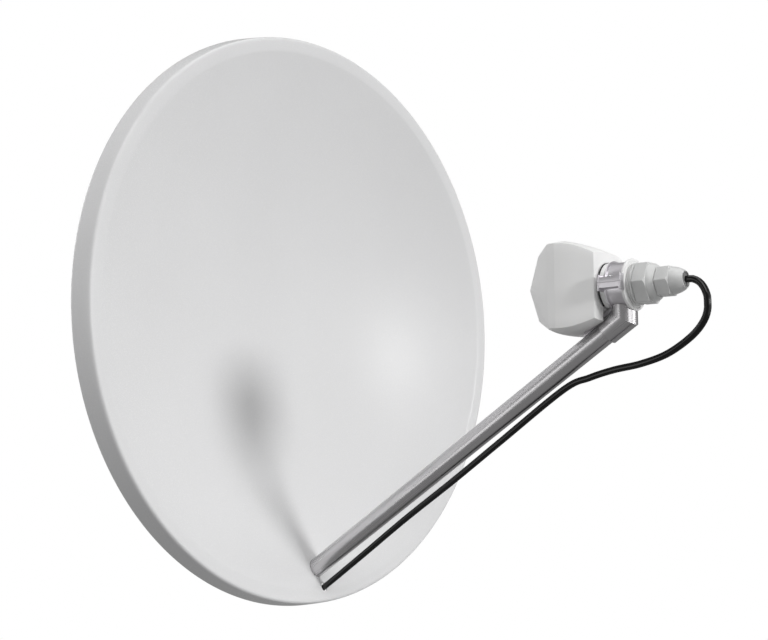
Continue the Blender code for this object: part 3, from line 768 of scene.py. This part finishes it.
def true_normals(obj):
    """Gives the bowl's faces the curve's own normals, so that the holes don't mark the shine."""
    bowl_r = DISH_R - 0.0005
    alike = 0.985
    mesh = obj.data
    normals = [Vector(corner.vector) for corner in mesh.corner_normals]
    for polygon in mesh.polygons:
        for loop in polygon.loop_indices:
            place = mesh.vertices[mesh.loops[loop].vertex_index].co - RIM
            if math.hypot(place.x, place.z) > bowl_r:
                continue
            own = Vector((-place.x / (2.0 * FOCAL), -1.0, -place.z / (2.0 * FOCAL))).normalized()
            if polygon.normal.y > 0.0:
                own = -own
            if polygon.normal.dot(own) > alike:
                normals[loop] = own
    mesh.normals_split_custom_set([tuple(normal) for normal in normals])


# Arm and elbow.
def arm():
    """The drawn tube, closed at its upper end, with a cross hole for the root's bolt."""
    low, high = along_at(ARM_START_Y), along_at(ARM_END_Y)
    bore = ARM_R - ARM_WALL
    tube = lathe("arm_tube_drawn", [
        (0.0, high), (ARM_R - ARM_EDGE, high), (ARM_R, high - ARM_EDGE), (ARM_R, low + ARM_EDGE),
        (ARM_R - EDGE, low), (bore + EDGE, low), (bore, low + EDGE), (bore, high - ARM_WALL),
        (0.0, high - ARM_WALL),
    ], ROUND_STEPS, base=arm_point(0.0), along=ARM_DIR)
    drill = drum(M6_BORE, -DRILL_REACH, DRILL_REACH)
    bolt_hole = lathe("arm_bolt_hole", drill, HOLE_STEPS, base=ROOT_BOLT, along=(1, 0, 0))
    combine(tube, [bolt_hole])
    shade(tube, 38.0)
    piece(tube, ARM_METAL, "polished_arm_metal", "arm_tube")


def elbow():
    """Sleeve over the arm's end and the upright post, mitred into one piece."""
    corner_along = along_at(POST_Y)
    corner = arm_point(corner_along)
    low = corner_along - SLEEVE_LENGTH
    turn = (math.pi / 2.0 - ARM_TILT) / 2.0
    end, edge, mitre, top = [], [], [], []
    for step in range(SLEEVE_SIDES):
        angle = 2.0 * math.pi * step / SLEEVE_SIDES
        x, across = SLEEVE_R * math.cos(angle), SLEEVE_R * math.sin(angle)
        inward = 1.0 - EDGE / SLEEVE_R
        end.append(arm_point(low, across * inward, x * inward))
        edge.append(arm_point(low + EDGE, across, x))
        mitre.append(arm_point(corner_along - across * math.tan(turn), across, x))
        top.append(Vector((x, corner.y + across, POST_TOP_Z + RIM.z)))
    made = loft("elbow_post", [end, edge, mitre, top])
    ring_back = CLAMP_FRONT_Y - CLAMP_RING_W - GAP
    tools = [
        arm_round("pocket", ARM_R + GAP, low - 0.01, along_at(ARM_END_Y) + GAP),
        feed_round("saddle", CLAMP_R + GAP, *TOOL_Y),
        feed_round("ring_seat", CLAMP_RING_R + GAP, ring_back, TOOL_Y[1]),
        feed_round("flange_seat", FLANGE_R + GAP, TOOL_Y[0], NECK_BACK_Y),
    ]
    combine(made, tools)
    shade(made, 24.0)
    piece(made, ARM_METAL, "polished_arm_metal", "elbow")


# Clamp.
def lug(name, side, outer, front, back, height):
    """A flat bar from the ring outwards, which reaches a little past the split."""
    inner = CLAMP_R - EAR_ROOT
    x = sorted((side * inner, side * outer))
    z = sorted((-0.2 * height, height))
    return rounded(block(name, (x[0], back, z[0]), (x[1], front, z[1])), EDGE)


def gusset():
    """The web that runs from the lower half down to the top of the sleeve and the arm."""
    web = slab("gusset", GUSSET_SIDE, -GUSSET_HALF, GUSSET_HALF)
    rounded(web, width=0.0005)
    joint = along_at(POST_Y)
    arm_low = joint - 0.08
    post = drum(SLEEVE_R + GAP, -TOOL_REACH, 0.0)
    foot = at(0, POST_Y, GUSSET_FOOT_Z)
    return combine(web, [
        arm_round("sleeve_clearance", SLEEVE_R + GAP, joint - SLEEVE_LENGTH - GAP, joint),
        arm_round("arm_clearance", ARM_R + GAP, arm_low, joint),
        lathe("post_clearance", post, base=foot, along=(0, 0, 1)),
    ])


def clamp_half(name, node, upper):
    """Half of the ring with its ears and ribs. The lower half also has the web."""
    front, back = CLAMP_FRONT_Y, CLAMP_BACK_Y
    step = front - CLAMP_RING_W
    outline = [
        (CLAMP_RING_R - EDGE, front), (CLAMP_RING_R, front - EDGE), (CLAMP_RING_R, step + EDGE),
        (CLAMP_RING_R - EDGE, step), (CLAMP_R + EDGE, step), (CLAMP_R, step - EDGE),
        (CLAMP_R, back + EDGE), (CLAMP_R - EDGE, back), (NECK_R + GAP, back),
        (NECK_R + GAP, front),
    ]
    ring = lathe(name, outline, ROUND_STEPS, closed=True)
    sign = 1.0 if upper else -1.0
    lugs = (
        ("ear", EAR_OUT, EAR_FRONT_Y, EAR_BACK_Y, EAR_HALF_H),
        ("rib_front", EAR_OUT + RIB_PROUD, EAR_FRONT_Y, EAR_FRONT_Y - RIB_T, RIB_HALF_H),
        ("rib_back", EAR_OUT + RIB_PROUD, EAR_BACK_Y + RIB_T, EAR_BACK_Y, RIB_HALF_H),
    )
    joined = []
    tools = [
        feed_round(f"{name}_bore", NECK_R + GAP, *TOOL_Y),
        feed_round(f"{name}_flange_seat", FLANGE_R + GAP, TOOL_Y[0], NECK_BACK_Y),
    ]
    rest = sorted((-sign * TOOL_REACH, sign * GAP / 2.0))
    low, high = (-TOOL_REACH, SPLIT_Y[0], rest[0]), (TOOL_REACH, SPLIT_Y[1], rest[1])
    tools.append(block(f"{name}_rest", low, high))
    hole_low, hole_high = SCREW_HOLE_END - EAR_HALF_H, 0.02
    hole = drum(CLAMP_SCREW_R + EDGE, hole_low, hole_high)
    for side, tag in ((-1, "left"), (1, "right")):
        for label, outer, y0, y1, height in lugs:
            joined.append(lug(f"{name}_{label}_{tag}", side, outer, y0, y1, sign * height))
        place = at(side * CLAMP_SCREW_X, CLAMP_SCREW_Y, 0.0)
        tools.append(lathe(f"{name}_hole_{tag}", hole, HOLE_STEPS, base=place, along=(0, 0, 1)))
    combine(ring, joined, "UNION")
    combine(ring, tools)
    if not upper:
        combine(ring, [gusset()], "UNION")
    shade(ring, 35.0)
    piece(ring, CLAMP_METAL, "clamp_metal", node)


# One turn of a thread: shares of the step along it and of the pitch inwards.
THREAD = ((0.1, 0.0), (0.35, 0.0), (0.65, 0.45), (0.8, 0.45))


def threads(radius, start, end, pitch):
    """(radius, height) points of thread grooves from start to end."""
    count = max(1, round(abs(end - start) / pitch))
    step = (end - start) / count
    points = []
    for index in range(count):
        base = start + step * index
        points += [(radius - depth * pitch, base + share * step) for share, depth in THREAD]
    return points


def clamp_screws():
    """Button heads with a hexagon socket, down through the upper ear into the lower one."""
    top, end = EAR_HALF_H + GAP, SCREW_END - EAR_HALF_H
    point = 0.0003
    outline = [(radius, top + height) for radius, height in BUTTON_HEAD] + [(CLAMP_SCREW_R, top)]
    outline += threads(CLAMP_SCREW_R, SCREW_THREAD_TOP, end + point, SCREW_PITCH)
    outline += [(CLAMP_SCREW_R - point, end), (0.0, end)]
    socket = [(radius, top + height) for radius, height in SOCKET]
    for side, tag in ((-1, "left"), (1, "right")):
        place = at(side * CLAMP_SCREW_X, CLAMP_SCREW_Y, 0.0)
        screw = lathe(f"button_screw_{tag}", outline, BOLT_STEPS, base=place, along=(0, 0, 1))
        combine(screw, [lathe(f"socket_{tag}", socket, 6, base=place, along=(0, 0, 1))])
        shade(screw, 30.0)
        piece(screw, ZINC, "zinc_plated_steel", f"clamp_screw_{tag}")


# Feed head.
def half_ring(sign, half_width, corner, crown):
    """The upper or lower half of a ring of the head: x, z and the height of its corner."""
    points = []
    for step in range(SIDE_STEPS + 1):
        points.append((half_width, corner * step / SIDE_STEPS))
    for step in range(1, 2 * ARCH_STEPS):
        x = half_width * math.cos(math.pi * step / (2.0 * ARCH_STEPS))
        z = corner + (crown - corner) * (1.0 - abs(x / half_width) ** ARCH_POWER)
        points.append((x, z))
    for step in range(SIDE_STEPS, 0, -1):
        points.append((-half_width, corner * step / SIDE_STEPS))
    return [(sign * x, sign * z, corner) for x, z in points]


def head_ring(y, half_width, top_corner, top_crown, foot_corner, foot_crown, lean=0.0):
    """A ring of the head: upright sides and an arched top and foot. Points near mid-height lie
    forward by up to the lean."""
    ring = half_ring(1.0, half_width, top_corner, top_crown)
    ring += half_ring(-1.0, half_width, foot_corner, foot_crown)
    return [at(x, y + lean * max(0.0, 1.0 - abs(z) / corner), z) for x, z, corner in ring]


def head():
    """The feed housing with its neck, grooved below for the arm."""
    rings = [head_ring(*row) for row in HEAD_FRONT + curve_through(HEAD_BACK, HEAD_STEPS)]
    shell = loft("feed_head", rings)
    rounded(shell, width=0.0011, angle=11.0)
    edge = SHOULDER_EDGE
    root = HEAD_REAR_Y + 0.01
    front, back = SHOULDER_Y
    neck = lathe("neck", [
        (0.0, root), (NECK_R, root), (NECK_R, front + edge), (SHOULDER_R - edge, front),
        (SHOULDER_R, front - edge), (SHOULDER_R, back + edge), (SHOULDER_R - edge, back),
        (NECK_R, back), (NECK_R, NECK_BACK_Y), (0.0, NECK_BACK_Y),
    ], ROUND_STEPS)
    combine(shell, [neck], "UNION")
    combine(shell, [slab("arm_groove", ARM_GROOVE_SIDE, -ARM_GROOVE_HALF, ARM_GROOVE_HALF)])
    shade(shell, 30.0)
    piece(shell, PLASTIC, "white_housing_plastic", "head_cover", "head_body")


def neck_shade_ring():
    """A black ring of painted shade between the housing and the shoulder, open where the arm's
    groove is.
    """
    front, back = HEAD_REAR_Y - 0.0003, SHOULDER_Y[0] + 0.0002
    inner = NECK_R + 0.0001
    shade_ring = lathe("neck_shade_ring", [
        (inner, front), (SHADE_RING_R - EDGE, front), (SHADE_RING_R, front - EDGE),
        (SHADE_RING_R, back + EDGE), (SHADE_RING_R - EDGE, back), (inner, back),
    ], ROUND_STEPS, closed=True)
    low = (-ARM_GROOVE_HALF, SHADE_RING_NOTCH_Y[0], SHADE_RING_NOTCH_Z[0])
    high = (ARM_GROOVE_HALF, SHADE_RING_NOTCH_Y[1], SHADE_RING_NOTCH_Z[1])
    combine(shade_ring, [block("shade_ring_notch", low, high)])
    shade(shade_ring, 40.0)
    # Painted shade: the ring is black only to darken the gap behind the housing, where shade falls.
    piece(shade_ring, RUBBER, "seal_rubber")


# Rear flange and cable gland.
def flange_and_collar():
    """The disc behind the clamp, and the collar between it and the gland."""
    front, back = NECK_BACK_Y - GAP, FLANGE_BACK_Y
    corner = FLANGE_R - FLANGE_ROUND
    outline = [(0.0, front)]
    outline += arc((corner, front - FLANGE_ROUND), FLANGE_ROUND, 90.0, 0.0, 5)
    outline += arc((corner, back + FLANGE_ROUND), FLANGE_ROUND, 0.0, -90.0, 5)
    outline += [
        (FLANGE_GROOVE_R + EDGE, back), (FLANGE_GROOVE_R, back + EDGE),
        (FLANGE_GROOVE_R - EDGE, back), (0.0, back),
    ]
    disc = lathe("flange_disc", outline, ROUND_STEPS)
    shade(disc, 40.0)
    piece(disc, PLASTIC, "white_housing_plastic", "rear_flange")
    y = back - GAP
    front = [(0.0, y), (COLLAR_FRONT_R, y), (COLLAR_R, y - EDGE)]
    collar = lathe("collar", front + COLLAR_SIDE, ROUND_STEPS)
    shade(collar, 40.0)
    piece(collar, GLAND, "light_grey_gland_plastic", "gland_collar")


def hexagon(name, across, reach, dome, node):
    """A hexagon of the gland with chamfered corners, joined to a turned dome."""
    first, last = reach
    circum = across / math.sqrt(3.0)
    corners = []
    for index in range(6):
        angle = math.radians(60.0 * index)
        corners.append((circum * math.cos(angle), circum * math.sin(angle)))
    drive = loft(name, [[at(x, y, z) for x, z in corners] for y in (first, last)])
    rounded(drive, width=0.0007)
    outside = circum + EDGE
    chamfer = lathe(f"{name}_chamfer", [
        (0.0, last), (circum - HEX_REAR_EDGE[0], last), (outside, last + HEX_REAR_EDGE[1]),
        (outside, first - HEX_FRONT_EDGE), (circum - HEX_FRONT_EDGE, first), (0.0, first),
    ], ROUND_STEPS)
    combine(drive, [chamfer], "INTERSECT")
    core = [(0.0, first), (dome[0][0], first)] + dome
    combine(drive, [lathe(f"{name}_dome", core, ROUND_STEPS)], "UNION")
    shade(drive, 28.0)
    piece(drive, GLAND, "light_grey_gland_plastic", node)
    return drive


def gland():
    """The gland's body and nut, and the seal in the nut's mouth round the lead."""
    hexagon("gland_body_hex", HEX1_AF, HEX1_Y, HEX1_DOME, "gland_body")
    nut = hexagon("gland_nut_hex", HEX2_AF, HEX2_Y, HEX2_DOME, "gland_nut")
    end, depth = GLAND_END_Y, GLAND_MOUTH_DEPTH
    combine(nut, [lathe("socket", drum(GLAND_MOUTH_R, end - depth, end + depth))])
    shade(nut, 28.0)
    inner, floor = GLAND_MOUTH_R - GAP, end + depth - GAP
    lip_r, lip = SEAL_LIP[0], end + SEAL_LIP[1]
    seal = lathe("lead_seal", [
        (0.0, floor), (inner, floor), (inner, end + SEAL_SIDE_END), (lip_r, lip), (0.0, lip),
    ])
    shade(seal, 40.0)
    piece(seal, RUBBER, "seal_rubber", "gland_seal")


# Bolts behind the dish.
def hex_prism(name, circum, low, high, centre, axis):
    """A hexagon along an axis with its corners turned off at both ends."""
    prism = lathe(name, drum(circum, low, high), 6, base=centre, along=axis)
    corner = 0.13 * circum
    slope = 0.6 * corner
    outside = circum + 0.0001
    form = [
        (0.0, low), (circum - corner, low), (outside, low + slope), (outside, high - slope),
        (circum - corner, high), (0.0, high),
    ]
    turned = lathe(f"{name}_form", form, WASHER_STEPS, base=centre, along=axis)
    return combine(prism, [turned], "INTERSECT")


def bolt(node, centre, axis, reach_head, reach_nut, radius, across):
    """A bolt through centre: hexagon head and washer at one side, washer and nut at the other. Its
    heights and its thread are in proportion to the shaft's radius."""
    axis = Vector(axis)
    circum = across / math.sqrt(3.0)
    head_h, nut_h = radius * 1.3, radius * 1.6
    tip = reach_nut + nut_h + radius * 0.8
    washer = 0.3 * radius
    pitch = radius * 0.31
    inside_head = -reach_head - 0.5 * head_h
    thread_start = reach_nut - 2.5 * radius
    outline = [(0.0, inside_head), (radius, inside_head), (radius, thread_start)]
    outline += threads(radius, thread_start, tip - 0.15 * radius, pitch)
    outline += [(radius * 0.82, tip), (0.0, tip)]
    name = f"{node}_set"
    shaft = lathe(name, outline, BOLT_STEPS, base=centre, along=axis)
    rim = 0.60 * across
    edge = 0.0002
    discs = []
    for label, low, high in (("nut", reach_nut, reach_nut + washer),
                             ("head", -reach_head - washer, -reach_head)):
        form = [
            (0.0, low), (rim - edge, low), (rim, low + edge), (rim, high - edge),
            (rim - edge, high), (0.0, high),
        ]
        disc = lathe(f"{name}_{label}_washer", form, WASHER_STEPS, base=centre, along=axis)
        discs.append(disc)
    head_low, head_high = -reach_head - head_h, -reach_head - 0.5 * washer
    nut_low, nut_high = reach_nut + 0.5 * washer, reach_nut + nut_h
    hexagons = [
        hex_prism(f"{name}_head", circum, head_low, head_high, centre, axis),
        hex_prism(f"{name}_nut", circum, nut_low, nut_high, centre, axis),
    ]
    combine(shaft, hexagons + discs, "UNION")
    shade(shaft, 30.0)
    piece(shaft, ZINC, "zinc_plated_steel", node)


def bracket_bolts():
    """The bolts of the bracket, with how far each reaches to its head and to its nut."""
    cheek = SPINE_HALF + GAP + YOKE_SHEET + GAP
    bolt("pivot_bolt", at(0, *PIVOT_YZ), (1, 0, 0), cheek, cheek, M8_R, M8_HEX)
    bolt("lock_bolt", at(0, *LOCK_YZ), (1, 0, 0), cheek, cheek, M8_R, M8_HEX)
    outside = SPINE_HALF + GAP
    bolt("arm_root_bolt", ROOT_BOLT, (1, 0, 0), outside, outside, M6_R, M6_HEX)
    to_head, to_nut = HUB_SHEET + GAP, SPINE_LIFT + SPINE_SHEET + GAP
    for z, tag in ((HUB_BOLT_Z, "upper"), (-HUB_BOLT_Z, "lower")):
        place = at(0, HUB_WEB_Y, z)
        bolt(f"hub_bolt_{tag}", place, (0, 1, 0), to_head, to_nut, M8_R, M8_HEX)
    to_head, to_nut = PLATE_T + GAP, JAW_REAR_Y + GAP
    for x, side in ((-BOLT_X, "left"), (BOLT_X, "right")):
        for z, height in ((-BOLT_Z, "low"), (BOLT_Z, "high")):
            place = Vector((x, 0, z))
            bolt(f"mast_bolt_{side}_{height}", place, (0, 1, 0), to_head, to_nut, M8_R, M8_HEX)


def softened(node, name, material, slot, width):
    """The solid's own shape, with its flat faces made whole and its edges rounded over."""
    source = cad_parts[node]
    shape = bmesh.new()
    shape.from_mesh(source.data)
    shape.transform(source.matrix_world)
    bmesh.ops.remove_doubles(shape, verts=shape.verts, dist=0.00001)
    flat = math.radians(0.5)
    bmesh.ops.dissolve_limit(shape, angle_limit=flat, verts=shape.verts, edges=shape.edges)
    obj = mesh_object(name, shape)
    rounded(obj, width, segments=2)
    shade(obj, 30.0)
    piece(obj, material, slot, node)


def dress(material, name):
    """Gives a solid whose shape is right a finish of its own."""
    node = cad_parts[name]
    node.data.materials.clear()
    node.data.materials.append(material)


# Studio.
def stage():
    """A floor and a backdrop that only the camera sees, so that they don't light the object."""
    white = bpy.data.materials.new("white_paper")
    white.use_nodes = True
    shader = white.node_tree.nodes["Principled BSDF"]
    shader.inputs["Base Color"].default_value = (0.0, 0.0, 0.0, 1.0)
    shader.inputs["Specular IOR Level"].default_value = 0.0
    shader.inputs["Emission Color"].default_value = (1.0, 1.0, 1.0, 1.0)
    shader.inputs["Emission Strength"].default_value = 1.0
    floor = bmesh.new()
    bmesh.ops.create_circle(floor, cap_ends=True, segments=64, radius=FLOOR_R)
    ground = mesh_object("floor", floor)
    ground.location.z = CAD_LOW.z - FLOOR_DROP
    dome = bmesh.new()
    bmesh.ops.create_uvsphere(dome, u_segments=48, v_segments=24, radius=BACKDROP_R)
    backdrop = mesh_object("backdrop", dome)
    for obj in (ground, backdrop):
        obj.data.materials.append(white)
        obj.visible_diffuse = False
        obj.visible_glossy = False
        obj.visible_transmission = False
        obj.visible_shadow = False


def sky():
    """A dim even surround."""
    world = bpy.data.worlds.new("studio")
    bpy.context.scene.world = world
    world.use_nodes = True
    background = world.node_tree.nodes["Background"]
    background.inputs["Color"].default_value = (1.0, 1.0, 1.0, 1.0)
    background.inputs["Strength"].default_value = SKY_STRENGTH


def lamp(name, kind, direction, energy):
    """A light that stands in a direction from the object, faces it and isn't seen itself."""
    data = bpy.data.lights.new(name, kind)
    data.energy = energy
    obj = bpy.data.objects.new(name, data)
    bpy.context.scene.collection.objects.link(obj)
    obj.location = at(*LIGHTS_AIM) + direction * LIGHT_DISTANCE
    obj.rotation_euler = direction.to_track_quat("Z", "Y").to_euler()
    obj.visible_camera = False
    return obj


def lights():
    key = lamp("key", "SUN", KEY_FROM, KEY_STRENGTH)
    key.data.angle = math.radians(KEY_WIDTH)
    key.visible_glossy = False
    for name, turn, rise, width, height, watts, acts in PANELS:
        turn, rise = math.radians(turn), math.radians(rise)
        direction = Vector((
            math.sin(turn) * math.cos(rise), -math.cos(turn) * math.cos(rise), math.sin(rise)
        ))
        panel = lamp(name, "AREA", direction, watts)
        panel.data.shape = "RECTANGLE"
        panel.data.size, panel.data.size_y = width, height
        panel.visible_diffuse = acts != "glossy"
        panel.visible_glossy = acts != "diffuse"


make_camera()
JACKET = cable_jacket()
lead()
COAT = powder_coat()
PLASTIC = housing_plastic()
GLAND = gland_plastic()
ARM_METAL = drawn_metal("arm_metal", (0.61, 0.60, 0.61), 0.27, turn=(ARM_TILT, 0.0, 0.0))
CLAMP_METAL = drawn_metal("clamp_metal_cast", (0.78, 0.76, 0.79), 0.34)
ZINC = zinc_plate()
STEEL = galvanised()
RUBBER = dark_moulding("seal_black", (0.030, 0.030, 0.031), 0.70)
BLACK = dark_moulding("coupler_black", (0.030, 0.030, 0.031), 0.45)
reflector()
arm()
elbow()
clamp_half("clamp_top", "clamp_upper", True)
clamp_half("clamp_foot", "clamp_lower", False)
clamp_screws()
head()
neck_shade_ring()
flange_and_collar()
gland()
dress(BLACK, "cable_coupler")
for node, width in (("spine", 0.0006), ("mast_yoke", 0.0008), ("mast_jaw_lower", 0.0008),
                    ("mast_jaw_upper", 0.0008)):
    softened(node, f"{node}_steel", STEEL, "galvanised_bracket_steel", width)
dress(STEEL, "hub_pan")
bracket_bolts()
stage()
sky()
lights()
bpy.context.scene.view_settings.view_transform = "Standard"
